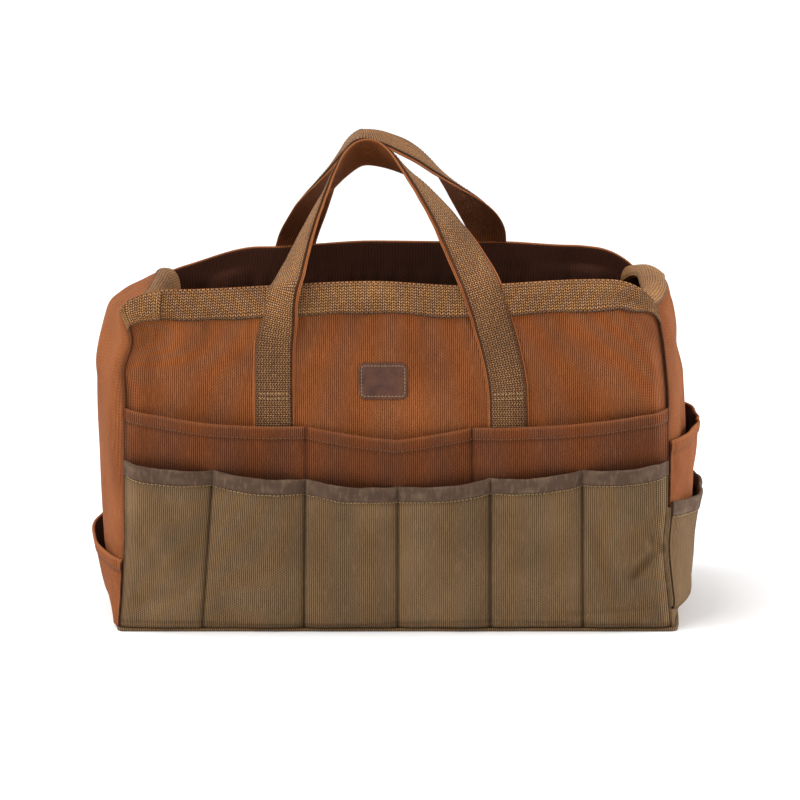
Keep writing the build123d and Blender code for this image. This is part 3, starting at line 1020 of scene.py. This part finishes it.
def make_upper_strip(name, surface, side, seed):
    points, s, h, z, to_seam = strip_grid(surface, side, upper_seams, upper_mouth, upper_lift(seed), 217, 85)
    length = upper_mouth(s) - floor_of_walls
    below_mouth = (1 - h) * length
    points, hem = hemmed(points, below_mouth)
    # The rubbed mouth edge is lighter; painted shade darkens the line under the hem, the seams, and the strip
    # near and below the lower pockets' mouth.
    tone = 0.25 * hill(below_mouth / 1.2) - 0.35 * hill((below_mouth - 10) / 1.2)
    tone = tone - 0.7 * hill(to_seam / 1.5)
    tone = tone - 0.5 * smooth((14 - (z - lower_mouth(s))) / 16)
    thickness = pocket_thickness + hem_layer * hem
    piece = cloth(name + "_upper_pockets", points, thickness, [brown_shaded, brown_inside], tone=tone)
    finish_piece(piece, "duck_brown", name + "_upper_pocket_strip")
    stitch_round_mouth(brown_pocket_thread, Surface(points), length[0], 8.0, 3.4, seed)


def fold_tape(sheet, tall, seed):
    """Tape folded over a pocket's mouth: up the outside, over the edge and down the inside."""
    columns = sheet.points.shape[1]
    share = np.linspace(0, 1, columns)
    gap, thickness = 0.1, tape_thickness
    outside = np.linspace(1 - tape_height / tall, np.ones(columns), 10)
    outer, _ = sheet.at(share[None, :] + 0 * outside, outside, proud=thickness + gap)
    inside = np.linspace(np.ones(columns), 1 - (tape_height - 1.5) / tall, 8)
    inner, _ = sheet.at(share[None, :] + 0 * inside, inside, proud=-(pocket_thickness + thickness + gap))
    edge, out = sheet.at(share, np.ones(columns))
    middle = edge - out * (pocket_thickness / 2)
    half = pocket_thickness / 2 + thickness + gap
    up = np.array([0, 0, 1.0])
    over = [
        middle + out * (half * math.cos(angle)) + up * (half * math.sin(angle))
        for angle in np.linspace(0, math.pi, 7)[1:-1]
    ]
    wrap = np.concatenate([outer, np.stack(over), inner])
    around = np.arange(len(wrap))[:, None] * 1.0
    ripple = 0.28 * soft_noise(np.arange(columns)[None, :] * 1.8, around, 10, 30, seed)
    wrap = wrap + grid_normals(wrap) * ripple[..., None]
    tone = 0.35 * soft_noise(np.arange(columns)[None, :] * 1.8, around * 2, 14, 12, seed + 1)
    tone[0] -= 0.6
    return wrap, tone


def make_lower_strip(name, surface, side, seed, marks):
    points, s, h, z, to_seam = strip_grid(
        surface, side, lower_seams, lower_mouth, lower_lift(seed, marks), 241, 70
    )
    length = lower_mouth(s) - floor_of_walls
    below_mouth = (1 - h) * length
    # Painted shade darkens the pocket seams and the line just under the tape; the strip is also darker at its
    # foot and along a line above the foot, and its tone differs at random.
    tone = -0.95 * hill(to_seam / 1.2) - 0.4 * hill(z / 4.0)
    tone = tone - 0.3 * hill((below_mouth - 11.0) / 1.4)
    line = hill((z - 7.2 - 1.6 * np.sin(s * 5.0)) / 1.0)
    tone = tone - 0.45 * line + 0.1 * soft_noise(s * 213, z, 60, 60, seed + 8)
    piece = cloth(name + "_lower_pockets", points, pocket_thickness, [olive, olive_inside], tone=tone)
    finish_piece(piece, "duck_olive", name + "_lower_pocket_strip")
    sheet = Surface(points)
    wrap, wrap_tone = fold_tape(sheet, length[0], seed + 9)
    piece = cloth(name + "_pocket_tape", wrap, tape_thickness, [tape], tone=wrap_tone)
    finish_piece(piece, "pocket_tape", name + "_lower_pocket_binding")
    stitch_round_mouth(pocket_thread, sheet, length[0], 10.6, 3.1, seed, proud=0.1, waver=0.5)
    return sheet


for name, surface, side, seed in (("front", front, -1, 51), ("back", back, 1, 61)):
    make_upper_strip(name, surface, side, seed)
front_lower = make_lower_strip("front", front, -1, 71, front_marks)
back_lower = make_lower_strip("back", back, 1, 81, back_marks)


# ---------------------------------------------------------------- end pockets
end_reach = 0.997       # how near the corner seams an end's pockets come
end_columns = 121


def end_sheet(surface, side, foot, mouth, fullness, seed, under=0.0, rows=64):
    """A sheet across one end, between its corner seams. foot and mouth give heights by place, -1 at the front
    to 1 at the back. fullness lists heights and how far the sheet's middle stands off the end there."""
    q, h = np.meshgrid(np.linspace(-end_reach, end_reach, end_columns), np.linspace(0, 1, rows))
    if side < 0:
        q = -q
    z = foot(q) + h * (mouth(q) - foot(q))
    share = (side * q + 1) / 2
    points = surface.on(share, z)[0]
    heights, values = np.array(fullness, float).T
    across = np.clip(1 - np.abs(q / end_reach), 0, 1)
    shape = smooth(across / 0.5) ** 0.8
    slack = 1.2 * soft_noise(q * 100, z, 60, 70, seed)
    off = under + 0.6 + np.interp(z, heights, values) * shape + slack * shape * smooth(h / 0.3)
    points[..., 0] += side * (off + pocket_thickness)
    return points, q, h


def brown_end_pocket(name, node, surface, side, foot, mouth, fullness, seed):
    points, q, h = end_sheet(surface, side, foot, mouth, fullness, seed)
    tall = mouth(q[0]) - foot(q[0])
    below = (1 - h) * tall
    points, hem = hemmed(points, below, width=8.5)
    # The rubbed mouth edge is lighter; painted shade darkens the line under the hem.
    tone = 0.25 * hill(below / 1.2) - 0.35 * hill((below - 9.2) / 1.2)
    piece = cloth(name, points, pocket_thickness + hem_layer * hem, [brown, brown_inside], tone=tone)
    finish_piece(piece, "duck_brown", node)
    stitch_round_mouth(brown_end_thread, Surface(points), tall, 7.2, 3.4, seed)


end_thread = Thread("end_pocket_stitching", tan_thread)
brown_end_thread = Thread("end_hem_stitching", brown_thread)
left_mouth_height = box_mm("left_end_pocket")[1][2]
upper_low, upper_high = box_mm("right_end_upper_pocket")
lower_high = box_mm("right_end_lower_binding")[1]

brown_end_pocket(
    "left_end_pocket_canvas", "left_end_pocket", left_end, -1,
    foot=lambda q: floor_of_walls + 1 + 0 * q,
    mouth=lambda q: left_mouth_height + 3 - 8 * q**2,
    fullness=((2, 0.2), (18, 2.6), (33, 3.6), (54, 5.0), (63, 6.5)), seed=91,
)
brown_end_pocket(
    "right_end_upper_pocket_canvas", "right_end_upper_pocket", right_end, 1,
    foot=lambda q: upper_low[2] + 6 * q**2,
    mouth=lambda q: upper_high[2] + 1 - 5 * q**2,
    fullness=((20, 0.4), (60, 2.0), (101, 3.6), (143, 6.4), (155, 8.2)), seed=92,
)


def lower_end_mouth(q):
    return lower_high[2] - 1 + 4 * q**2


def lower_end_foot(q):
    return 12 + 5 * q**4


lower_points, q, h = end_sheet(
    right_end, 1, lower_end_foot, lower_end_mouth,
    fullness=((12, 0.0), (18, 1.0), (39, 2.4), (65, 4.6), (82, 7.0), (98, 9.6)), seed=93,
    under=pocket_thickness + 0.6,
)
tall = (lower_end_mouth(q) - lower_end_foot(q))[0]
below = (1 - h) * tall
# Its foot turns in to the end like a rounded bag.
lower_points[..., 0] -= 2.6 * (1 - np.sqrt(1 - 0.96 * np.clip(1 - h * 10, 0, 1) ** 2))
# Painted shade darkens it just under the tape; it is also darker at its foot.
piece = cloth(
    "right_end_lower_pocket_canvas", lower_points, pocket_thickness, [olive, olive_inside],
    tone=-0.3 * hill((below - 11) / 1.4) - 0.6 * hill(h / 0.02),
)
finish_piece(piece, "duck_olive", "right_end_lower_pocket")
lower_sheet = Surface(lower_points)
wrap, wrap_tone = fold_tape(lower_sheet, tall, 94)
piece = cloth("right_end_pocket_tape", wrap, tape_thickness, [tape], tone=wrap_tone)
finish_piece(piece, "pocket_tape", "right_end_lower_binding")
stitch_round_mouth(end_thread, lower_sheet, tall, 10.6, 3.1, 95, proud=0.1, waver=0.4)


def corner_join(name, first, second):
    """The cloth of two lower pockets meeting in their corner seam. first and second are its upright edges."""
    across = np.linspace(0, 1, 7)[None, :]
    points = first[:, None, :] * (1 - across[..., None]) + second[:, None, :] * across[..., None]
    points = points - grid_normals(points) * (0.7 * np.sin(math.pi * across))[..., None]
    # Painted shade down the middle of the corner seam.
    tone = -0.5 * hill((across - 0.5) / 0.2)
    finish_piece(cloth(name, points, 0.7, [olive], tone=tone), "duck_olive")


join_heights = np.linspace(19, lower_end_mouth(1.0) - 3, 60)
corner_join(
    "front_right_pocket_corner", front_lower.on(0.998 + 0 * join_heights, join_heights)[0],
    lower_sheet.on(0.004 + 0 * join_heights, join_heights)[0],
)
corner_join(
    "back_right_pocket_corner", lower_sheet.on(0.996 + 0 * join_heights, join_heights)[0],
    back_lower.on(0.002 + 0 * join_heights, join_heights)[0],
)

# The underside's canvas turns up round the foot of each end.
for name, surface, side, seed in (("left", left_end, -1, 105), ("right", right_end, 1, 107)):
    lip = 7.0 if side < 0 else 15.0
    points, q, h = end_sheet(
        surface, side,
        foot=lambda q: floor_of_walls + 0.3 + 0 * q, mouth=lambda q, lip=lip: floor_of_walls + lip + 0 * q,
        fullness=((0, 0.0), (20, 0.0)), seed=seed, under=-1.5, rows=12,
    )
    # Painted shade along the top edge of the turn-up.
    tone = -0.35 * hill((1 - h) / 0.1)
    piece = cloth(name + "_base_turn_up", points, 0.9, [olive], tone=tone)
    finish_piece(piece, "duck_olive")
for thread in (end_thread, brown_end_thread, pocket_thread, brown_pocket_thread):
    thread.make()


# ---------------------------------------------------------------- base, board and inside tapes
def ring_faces(rings, count):
    """The faces of a closed stack of rings, from the underside to the top."""
    index = np.arange(rings * count).reshape(rings, count)
    faces = quads_of(np.concatenate([index, index[:, :1]], axis=1)).tolist()
    return faces + [index[0][::-1].tolist(), index[-1].tolist()]


def rounded_corner(quarter, half_x, half_y, corner, radius, count):
    """One corner of a rounded rectangle, anticlockwise. Quarter 0 is at +X and -Y."""
    sx, sy = quarters[quarter]
    angles = [math.radians(90 * quarter - 90 + 90 * k / count) for k in range(count + 1)]
    middle = sx * (half_x - corner), sy * (half_y - corner)
    return [(middle[0] + radius * math.cos(a), middle[1] + radius * math.sin(a)) for a in angles]


quarters = ((1, -1), (1, 1), (-1, 1), (-1, -1))


def plate(name, outline, levels, material, slot, node):
    """A flat piece. outline is its edge, and levels are (inset, height) pairs from its middle underneath,
    round its edge, to its middle on top."""
    outline = np.asarray(outline)
    ahead = np.roll(outline, -1, axis=0) - np.roll(outline, 1, axis=0)
    out = np.stack([ahead[:, 1], -ahead[:, 0]], axis=-1)
    out = unit(out)
    middle = outline.mean(axis=0)
    rings = []
    for inset, height in levels:
        flat = outline - out * inset if inset < 20 else middle + (outline - middle) * (1 - inset / 100)
        rings.append(np.column_stack([flat, np.full(len(flat), height)]))
    points = np.concatenate(rings)
    faces = ring_faces(len(rings), len(outline))
    piece = put(name, points, faces, [material], uv=points[:, :2], tone=np.zeros(len(points)))
    finish_piece(piece, slot, node)


base_low, base_high = box_mm("bottom_panel")
base_proud = -base_low[1] - depth_at(floor_of_walls + 1)
corner_x = corner_at(floor_of_walls + 1) + base_proud - 2
corner_y = -base_low[1]
base_corner = 6.0


def rounded_bag_outline(half_x, bow, half_y, corner):
    """Straight front and back, bowed ends and rounded corners, anticlockwise from above."""
    points = []
    sides = 16
    for quarter, (sx, sy) in enumerate(quarters):
        points += rounded_corner(quarter, half_x, half_y, corner, corner, sides)
        for k in range(1, sides):
            share = k / sides
            if sx * sy < 0:
                y = sy * (half_y - corner) * (1 - 2 * share)
                points.append((sx * (half_x + bow * (1 - (y / half_y) ** 2)), y))
            else:
                points.append((sx * (half_x - corner) * (1 - 2 * share), sy * half_y))
    return points


plate(
    "canvas_base",
    rounded_bag_outline(corner_x, base_high[0] - corner_x - 1, corner_y, base_corner),
    (
        (60, 0.0), (4, 0.0), (1.0, 0.1), (0.2, 0.6), (0.0, 1.2), (0.3, 2.0), (1.0, 2.4), (4, 2.5), (8, 2.0),
        (60, 2.0),
    ),
    olive, "duck_olive", "bottom_panel",
)
board_low, board_high = box_mm("bottom_board")
plate(
    "base_board",
    rounded_bag_outline(board_high[0], 0, board_high[1], 8.0),
    (
        (60, board_low[2]), (2, board_low[2]), (0.3, board_low[2] + 0.3), (0, board_low[2] + 1.2),
        (0.2, board_high[2] - 0.8), (0.8, board_high[2] - 0.2), (2, board_high[2]), (60, board_high[2]),
    ),
    board, "board", "bottom_board",
)

inside_thread = Thread("inside_seam_stitching", brown_thread)
for name, surface, share_side in (
    ("front_right_seam_binding", front, 1),
    ("front_left_seam_binding", front, -1),
    ("back_right_seam_binding", back, -1),
    ("back_left_seam_binding", back, 1),
):
    low, high = box_mm(name)
    heights = np.linspace(low[2], high[2], 110)[:, None]
    across = np.linspace(0, 1, 11)[None, :]
    corner = corner_at(heights)
    x = share_side * (corner - 5 - 10.5 * (1 - across if share_side > 0 else across))
    share = (x / corner + 1) / 2
    wave = 0.5 * soft_noise(across * 10, heights, 30, 22, 121)
    round_over = 0.9 * (1 - np.abs(2 * across - 1) ** 4)
    spot, normal = surface.on(share + 0 * heights, heights + 0 * across)
    tape_back = spot - normal * (panel_thickness + 0.3)
    tape_front = tape_back - normal * (1.0 + round_over + wave)[..., None]
    grid = tape_front[:, ::-1]
    thickness = 1.0 + round_over[:, ::-1] + wave[:, ::-1]
    piece = cloth("tape_" + name, grid, thickness, [seam_tape], turn_weave=True)
    finish_piece(piece, "seam_tape", name)
    sheet = Surface(grid)
    path, normal = sheet.at(np.full(110, 0.3 if share_side > 0 else 0.7), np.linspace(0.01, 0.99, 110))
    inside_thread.row(path, normal, pitch=3.6, random_seed=122)
inside_thread.make()


# ---------------------------------------------------------------- label
label_low, label_high = box_mm("label_patch")
label_x, label_z = (label_low[0] + label_high[0]) / 2, (label_low[2] + label_high[2]) / 2
label_half = (label_high[0] - label_low[0]) / 2, (label_high[2] - label_low[2]) / 2
label_corner = 5.0
label_steps = 24


def label_outline(inset):
    corners = [
        rounded_corner(quarter, *label_half, label_corner, label_corner - inset, label_steps)
        for quarter in range(4)
    ]
    return np.concatenate(corners)


def on_front(x, z, proud):
    return front.on((np.asarray(x) / corner_at(np.asarray(z)) + 1) / 2, z, proud)


rings = []
label_levels = (
    (0.3, 0.05), (0.0, 0.35), (0.05, 0.8), (0.5, 1.05), (1.2, 1.1), (1.9, 1.0), (2.3, 0.8), (2.7, 1.0),
    (3.4, 1.15),
)
for inset, proud in label_levels:
    flat = label_outline(inset)
    rings.append(on_front(label_x + flat[:, 0], label_z + flat[:, 1], proud)[0])
inner = label_outline(3.4)
for share in (0.85, 0.7, 0.5, 0.3, 0.12):
    dome = 1.15 + 0.25 * (1 - share)
    rings.append(on_front(label_x + inner[:, 0] * share, label_z + inner[:, 1] * share, dome)[0])
label = put("plain_patch", np.concatenate(rings), ring_faces(len(rings), len(inner)), [patch])
finish_piece(label, "patch", "label_patch")
label_thread = Thread("patch_stitching", tan_thread, radius=0.3)
ring_flat = label_outline(2.3)
ring_flat = np.concatenate([ring_flat, ring_flat[:1]])
path, normal = on_front(label_x + ring_flat[:, 0], label_z + ring_flat[:, 1], 1.0)
label_thread.row(path, normal, pitch=2.6, random_seed=131)
label_thread.make()


# ---------------------------------------------------------------- handles
class Strap:
    """A handle's line: where its webbing meets its canvas backing, from the left foot to the right foot.

    The feet and rim places are the X where each leg is sewn and where it crosses the rim, and each leg leans
    from one to the other above its height in leans. The bends are the control points of each half of the
    arch. The facings say how far the webbing faces forward, from 1 to -1, at shares of each half of the arch.
    """

    forward = np.array([0.0, -1.0, 0.18])

    def __init__(self, name, side, surface, feet, rims, leans, bends, apex, facings):
        self.name = name
        self.side = side
        self.surface = surface
        self.feet = feet
        self.rims = rims
        self.leans = leans
        self.bends = [[np.array(bend) for bend in leg] for leg in bends]
        self.apex = np.array(apex)
        self.facings = facings

    def wall(self, x, z, proud):
        share = (-self.side * np.asarray(x) / corner_at(np.asarray(z)) + 1) / 2
        return self.surface.on(share, z, proud)

    def leg(self, which):
        foot = box_mm(self.name + ("_left" if which == 0 else "_right") + "_anchor_webbing")[0][2]
        crest = self.wall(self.rims[which], rim_height + 20, 0.0)[0][2]
        z = np.linspace(foot, crest + 1, leg_points)
        lean = np.clip((z - self.leans[which]) / (crest - self.leans[which]), 0, 1) ** lean_curve
        x = self.feet[which] + (self.rims[which] - self.feet[which]) * lean
        shares, facings = np.array(self.facings[which]).T
        edge_in = webbing_half * math.sqrt(max(1 - facings[0] ** 2, 0.0))
        over_band = (rim_thickness + 0.5) * smooth((z - (crest - rim_width) + band_run_in) / band_run_in)
        proud = backing_thickness + 0.3 + over_band + edge_share * edge_in * lean
        points, _ = self.wall(x, np.minimum(z, crest - 0.5), proud)
        points[:, 2] = z
        start = points[-1]
        first, second = self.bends[which]
        t = np.linspace(0, 1, leg_points)[1:, None]
        arch = (
            start * (1 - t) ** 3 + first * (3 * t * (1 - t) ** 2)
            + second * (3 * t * t * (1 - t)) + self.apex * t**3
        )
        on_wall = -self.side * 1.0
        turning = on_wall + (facings[0] - on_wall) * smooth((z - turn_height) / (crest - turn_height))
        return np.concatenate([points, arch]), np.concatenate([turning, np.interp(t[:, 0], shares, facings)])

    def line(self):
        left, left_facing = self.leg(0)
        right, right_facing = self.leg(1)
        points = np.concatenate([left, right[-2::-1]])
        facing = np.concatenate([left_facing, right_facing[-2::-1]])
        for step in range(60):
            soften(facing)
            if step % 2:
                soften(points)
        along = np.gradient(points, axis=0)
        along = unit(along)
        front_way = self.forward - along * (along @ self.forward)[:, None]
        front_way = unit(front_way)
        # On the way up the left leg and down the right one, this points outward and up.
        outward = -np.cross(along, front_way)
        facing = np.clip(facing, -1, 1)[:, None]
        return points, along, front_way * facing + outward * np.sqrt(1 - facing**2)


backing_thickness = 1.2
handle_webbing_thickness = 1.8
webbing_half = 13.2
backing_half = 15.9
strap_columns = 27
strap_roll = -0.35      # how far a strap's edges curl back
turn_height = 228       # a leg lies flat on the wall up to here, and then starts to turn
lean_curve = 1.4
edge_share = 0.75       # how much of a turned edge's reach is kept clear of the wall
band_run_in = 9
leg_points = 90


def ribbon(strap, half, lift, seed):
    """One layer of a strap: its outer face, lifted off the strap's line, with rounded edges."""
    points, along, normals = strap.line()
    across = np.cross(along, normals)
    place = np.linspace(-1, 1, strap_columns)[None, :, None]
    length = travel(points)
    wander = 0.5 * soft_noise(length, length * 0, 90, 50, seed)[:, None, None]
    cup = strap_roll * place**2
    ripple = 0.22 * soft_noise(length[:, None], place[0, :, 0][None, :] * 14, 26, 40, seed + 1)[..., None]
    edge = 0.35 * np.abs(place) ** 8
    grid = (
        points[:, None, :]
        + across[:, None, :] * (place * half + wander)
        + normals[:, None, :] * (lift + cup + ripple - edge)
    )
    return grid, length


for strap in (
    Strap(
        "front", -1, front, feet=(-95.0, 86.0), rims=(-87.0, 65.0), leans=(222.0, 188.0),
        bends=(((-82.0, -84.0, 278.0), (-53.0, -8.0, 368.0)), ((57.0, -84.0, 290.0), (12.0, -8.0, 367.0))),
        apex=(-24.0, -8.0, 366.0),
        facings=(
            ((0.0, 0.78), (0.2, 0.58), (0.38, 0.34), (0.55, 0.16), (0.8, -0.4), (1.0, -0.62)),
            ((0.0, 0.98), (0.16, 0.94), (0.33, 0.8), (0.47, 0.55), (0.6, 0.36), (0.74, 0.05), (0.87, -0.48),
             (1.0, -0.62)),
        ),
    ),
    Strap(
        "back", 1, back, feet=(-93.0, 86.0), rims=(-84.0, 74.0), leans=(222.0, 200.0),
        bends=(((-80.0, 86.0, 294.0), (-46.0, 4.0, 378.0)), ((80.0, 88.0, 300.0), (17.0, 4.0, 377.0))),
        apex=(-27.0, 4.0, 377.0),
        facings=(
            ((0.0, -0.98), (0.2, -0.9), (0.4, -0.7), (0.55, -0.25), (0.7, 0.2), (1.0, 0.36)),
            ((0.0, -0.98), (0.22, -0.85), (0.36, -0.6), (0.48, -0.1), (0.62, 0.38), (0.82, 0.46), (1.0, 0.36)),
        ),
    ),
):
    name = strap.name
    seed = 140 if name == "front" else 150
    body = name + "_handle"
    grid, length = ribbon(strap, webbing_half, handle_webbing_thickness, seed)
    edges = np.abs(np.linspace(-1, 1, strap_columns))[None, :]
    # The handles' webbing is a little darker than the rim's; painted shade darkens its edges and the legs
    # below the rim.
    tone = 0.1 * soft_noise(length[:, None], edges * 13, 60, 60, seed + 2)
    tone = tone - 0.6 * hill((edges - 1) / 0.05) - 0.1 - 0.3 * smooth((rim_height - grid[..., 2]) / 45)
    outer = cloth(name + "_strap_webbing", grid, handle_webbing_thickness, [webbing], tone=tone)
    back_grid, _ = ribbon(strap, backing_half, 0.0, seed)
    inner = cloth(name + "_strap_backing", back_grid, backing_thickness, [brown], tone=-0.2 + 0.5 * edges**10)
    for piece, slot, layer in ((outer, "webbing", "webbing"), (inner, "duck_brown", "backing")):
        anchors = (name + "_left_anchor_" + layer, name + "_right_anchor_" + layer)
        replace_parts(piece, body + "_" + layer, *anchors)
        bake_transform(piece)
    sheet = Surface(grid)
    stitching = Thread(name + "_strap_stitching", brown_thread, radius=0.34)
    for edge in (0.085, 0.915):
        path, normal = sheet.at(np.full(700, edge), np.linspace(0.004, 0.996, 700))
        stitching.row(path, normal, pitch=3.6, random_seed=seed + 3)
    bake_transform(stitching.piece())
    bars = Thread(name + "_strap_cross_stitches", tan_thread, radius=0.42)
    low, high = box_mm(name + "_handle_stitch_bars")
    for z in (low[2] - 0.5, high[2] + 0.3):
        rows = grid[:, strap_columns // 2, 2]
        left_row = np.interp(z, rows[:60], np.arange(60)) / (len(rows) - 1)
        right_row = 1 - np.interp(z, rows[::-1][:60], np.arange(60)) / (len(rows) - 1)
        for row in (left_row, right_row):
            path, normal = sheet.at(np.linspace(0.06, 0.94, 40), np.full(40, row))
            bars.row(path, normal, pitch=2.6, random_seed=seed + 4)
    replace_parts(bars.make(), name + "_handle_stitch_bars")


# ---------------------------------------------------------------- floor, light and camera
def pale_floor():
    n = Nodes("pale_floor")
    where = n.place()
    cloud = n.noise(where, 2, 1.0)
    body = n.mix(n.between(cloud, 0.3, 0.7), (0.9, 0.9, 0.9, 1), (0.91, 0.91, 0.91, 1))
    return n.finish(body, n.between(cloud, 0.3, 0.7, 0.75, 0.85), specular=0.1)


floor_mesh = bpy.data.meshes.new("floor")
sides = 96
floor_radius = 9
turns = [2 * math.pi * k / sides for k in range(sides)]
rim = [(floor_radius * math.cos(turn), floor_radius * math.sin(turn), 0) for turn in turns]
floor_mesh.from_pydata(rim, [], [list(range(sides))])
floor_mesh.materials.append(pale_floor())
floor = add_object("floor", floor_mesh)


def area_light(name, place, aim, size, power):
    data = bpy.data.lights.new(name, "AREA")
    data.shape = "DISK"
    data.size = size
    data.energy = power
    lamp = add_object(name, data)
    lamp.location = place
    lamp.rotation_euler = (Vector(aim) - Vector(place)).to_track_quat("-Z", "Y").to_euler()


def sun_light(name, direction, strength, softness):
    data = bpy.data.lights.new(name, "SUN")
    data.energy = strength
    data.angle = math.radians(softness)
    lamp = add_object(name, data)
    lamp.rotation_euler = Vector(direction).to_track_quat("-Z", "Y").to_euler()


sun_light("key", (0.5, 0.2, -1.0), 2.1, 40)
area_light("left", (-2.1, -0.8, 1.1), (0, 0, 0.12), 1.2, 22)
area_light("right", (2.1, 0.1, 0.9), (0, 0, 0.15), 1.2, 40)
area_light("behind", (-0.6, 1.9, 1.3), (0, 0, 0.15), 1.4, 7)

world = bpy.data.worlds.new("studio")
world.use_nodes = True
world.node_tree.nodes["Background"].inputs["Color"].default_value = (1, 1, 1, 1)
world.node_tree.nodes["Background"].inputs["Strength"].default_value = 0.56
bpy.context.scene.world = world
bpy.context.scene.view_settings.view_transform = "Standard"

camera_data = bpy.data.cameras.new("camera")
camera_data.lens = 152          # mm, as is the sensor's width
camera_data.sensor_width = 36
camera = add_object("camera", camera_data)
camera_elevation = math.radians(10)
camera_distance = 2.6
camera_aim = Vector((0.002, -0.115, 0.184))
camera_offset = Vector((0, -math.cos(camera_elevation), math.sin(camera_elevation))) * camera_distance
camera.location = camera_aim + camera_offset
camera.rotation_euler = (-camera_offset).to_track_quat("-Z", "Y").to_euler()
bpy.context.scene.camera = camera
